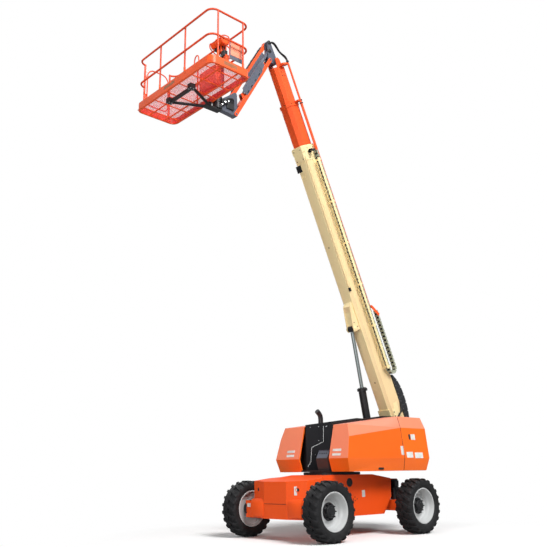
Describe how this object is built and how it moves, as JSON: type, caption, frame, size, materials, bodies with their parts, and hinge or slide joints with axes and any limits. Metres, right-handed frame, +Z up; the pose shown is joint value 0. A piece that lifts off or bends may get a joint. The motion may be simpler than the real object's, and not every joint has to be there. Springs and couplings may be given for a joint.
{
  "type": "telescopic boom lift",
  "caption": "Self-propelled work platform on four tyres with a slewing turntable, a raised three-section telescopic boom, a short jib and a railed basket.",
  "frame": {"origin": "on the floor, at the middle of the whole machine's length and width as it stands", "axes": "+X from the tail toward the working platform, +Y the machine's left side, +Z up"},
  "size_m": [6.3492, 2.49, 10.0093],
  "materials": {
    "orange": "semi-gloss paint",
    "red_orange": "semi-gloss paint",
    "cream": "semi-gloss paint",
    "black": "satin",
    "grey": "satin",
    "rim": "satin",
    "steel": "turned",
    "tyre": "matte",
    "plastic": "moulded",
    "chain": "moulded",
    "iron": "painted"
  },
  "bodies": {
    "chassis": {"chassis_frame": "red_orange", "drive_axle": "red_orange", "steer_axle": "red_orange", "slew_ring": "black"},
    "knuckle_left": {"steer_knuckle_left": "black"},
    "knuckle_right": {"steer_knuckle_right": "black"},
    "turntable": {"turntable_frame": "black", "counterweight": "iron", "engine_block": "iron", "inner_wall_left": "black", "inner_wall_right": "black", "valve_box": "black", "rear_cover_left": "orange", "rear_cover_right": "orange"},
    "hood_left": {"hood_left": "orange"},
    "hood_right": {"hood_right": "orange", "exhaust_pipe": "steel"},
    "boom_base": {"boom_base": "cream", "lift_bracket": "cream", "chain_tray": "cream", "energy_chain": "chain", "hose_cover": "plastic"},
    "boom_mid": {"boom_mid": "orange", "mid_tube": "orange"},
    "boom_fly": {"boom_fly": "orange", "fly_tube": "orange"},
    "lift_barrel": {"lift_barrel": "cream"},
    "lift_rod": {"lift_rod": "steel"},
    "jib_knuckle": {"jib_knuckle": "grey"},
    "jib_lower_arm": {"jib_lower_arm": "orange", "jib_guard": "grey"},
    "jib_upper_arm": {"jib_upper_arm": "orange"},
    "jib_barrel": {"jib_barrel": "grey"},
    "jib_rod": {"jib_rod": "steel"},
    "jib_end": {"jib_end_link": "grey", "rotator": "steel"},
    "platform": {"platform_support": "black", "platform_floor": "black", "rail_front": "orange", "rail_back": "orange", "rail_left": "orange", "rail_right": "orange", "control_console": "black"},
    "entry_gate": {"entry_gate": "orange"},
    "drive_wheel_left": {"tyre_drive_left": "tyre", "wheel_drive_left": "rim"},
    "drive_wheel_right": {"tyre_drive_right": "tyre", "wheel_drive_right": "rim"},
    "steer_wheel_left": {"tyre_steer_left": "tyre", "wheel_steer_left": "rim"},
    "steer_wheel_right": {"tyre_steer_right": "tyre", "wheel_steer_right": "rim"}
  },
  "joints": [
    {"name": "steer_left", "type": "hinge", "parent": "chassis", "child": "knuckle_left", "pos_m": [-2.0146, 0.78, 0.5075], "axis": [0, 0, 1], "range_deg": [-32, 32]},
    {"name": "steer_right", "type": "hinge", "parent": "chassis", "child": "knuckle_right", "pos_m": [-2.0146, -0.78, 0.5075], "axis": [0, 0, 1], "range_deg": [-32, 32]},
    {"name": "drive_wheel_left_turn", "type": "hinge", "parent": "chassis", "child": "drive_wheel_left", "pos_m": [0.4654, 1.0675, 0.5075], "axis": [0, 1, 0], "continuous": true},
    {"name": "steer_wheel_left_turn", "type": "hinge", "parent": "knuckle_left", "child": "steer_wheel_left", "pos_m": [-2.0146, 1.0675, 0.5075], "axis": [0, 1, 0], "continuous": true},
    {"name": "drive_wheel_right_turn", "type": "hinge", "parent": "chassis", "child": "drive_wheel_right", "pos_m": [0.4654, -1.0675, 0.5075], "axis": [0, 1, 0], "continuous": true},
    {"name": "steer_wheel_right_turn", "type": "hinge", "parent": "knuckle_right", "child": "steer_wheel_right", "pos_m": [-2.0146, -1.0675, 0.5075], "axis": [0, 1, 0], "continuous": true},
    {"name": "slew", "type": "hinge", "parent": "chassis", "child": "turntable", "pos_m": [-0.7746, 0, 1.1], "axis": [0, 0, 1], "continuous": true},
    {"name": "hood_left_open", "type": "hinge", "parent": "turntable", "child": "hood_left", "pos_m": [-0.7746, 0.466, 2.04865], "axis": [0.9922, 0, -0.1249], "range_deg": [0, 60]},
    {"name": "hood_right_open", "type": "hinge", "parent": "turntable", "child": "hood_right", "pos_m": [-0.7746, -0.281, 2.04865], "axis": [-0.9922, 0, 0.1249], "range_deg": [0, 60]},
    {"name": "luff", "type": "hinge", "parent": "turntable", "child": "boom_base", "pos_m": [-2.8746, 0, 2], "axis": [0, -1, 0], "range_deg": [-65.5, 9.5]},
    {"name": "telescope_mid", "type": "slide", "parent": "boom_base", "child": "boom_mid", "axis": [0.4147, 0, 0.91], "range_m": [-0.9, 4.1]},
    {"name": "telescope_fly", "type": "slide", "parent": "boom_mid", "child": "boom_fly", "axis": [0.4147, 0, 0.91], "range_m": [-0.77, 3.49]},
    {"name": "lift_barrel_swing", "type": "hinge", "parent": "turntable", "child": "lift_barrel", "pos_m": [-2.0836, 0, 1.315], "axis": [0, -1, 0], "range_deg": [-66, 10.5]},
    {"name": "lift_rod_slide", "type": "slide", "parent": "lift_barrel", "child": "lift_rod", "axis": [0.1944, 0, 0.9809], "range_m": [-1.17, 0.18]},
    {"name": "jib_level", "type": "hinge", "parent": "boom_fly", "child": "jib_knuckle", "pos_m": [0.59799, 0, 9.57168], "axis": [0, -1, 0], "range_deg": [-9.6, 65.6]},
    {"name": "jib", "type": "hinge", "parent": "jib_knuckle", "child": "jib_lower_arm", "pos_m": [0.75499, 0, 9.53968], "axis": [0, 1, 0], "range_deg": [-124.8, 5.2]},
    {"name": "jib_upper_swing", "type": "hinge", "parent": "jib_knuckle", "child": "jib_upper_arm", "pos_m": [0.76965, 0, 9.95943], "axis": [0, 1, 0], "range_deg": [-124.9, 5.3]},
    {"name": "jib_end_level", "type": "hinge", "parent": "jib_lower_arm", "child": "jib_end", "pos_m": [1.68055, 0, 7.94942], "axis": [0, 1, 0], "range_deg": [-5.3, 124.9]},
    {"name": "jib_barrel_swing", "type": "hinge", "parent": "jib_knuckle", "child": "jib_barrel", "pos_m": [0.76267, 0, 9.75955], "axis": [0, 1, 0], "range_deg": [-126.5, 5.4]},
    {"name": "jib_rod_slide", "type": "slide", "parent": "jib_barrel", "child": "jib_rod", "axis": [0.49, 0, -0.8717], "range_m": [-0.395, 0.02]},
    {"name": "platform_turn", "type": "hinge", "parent": "jib_end", "child": "platform", "pos_m": [2.10555, 0, 7.99142], "axis": [0, 0, 1], "range_deg": [-90, 90]},
    {"name": "gate", "type": "hinge", "parent": "platform", "child": "entry_gate", "pos_m": [2.98355, -1.181, 7.99142], "axis": [0, 0, -1], "range_deg": [0, 90]}
  ],
  "couplings": [
    {"joint": "steer_right", "follows": "steer_left", "ratio": 1},
    {"joint": "telescope_fly", "follows": "telescope_mid", "ratio": 0.85},
    {"joint": "lift_barrel_swing", "follows": "luff", "ratio": 0.983},
    {"joint": "lift_rod_slide", "follows": "luff", "m_per_rad": 1.01},
    {"joint": "jib_level", "follows": "luff", "ratio": -1},
    {"joint": "jib_upper_swing", "follows": "jib", "ratio": 1},
    {"joint": "jib_end_level", "follows": "jib", "ratio": -1},
    {"joint": "jib_barrel_swing", "follows": "jib", "ratio": 1.0105},
    {"joint": "jib_rod_slide", "follows": "jib", "m_per_rad": 0.1786}
  ]
}
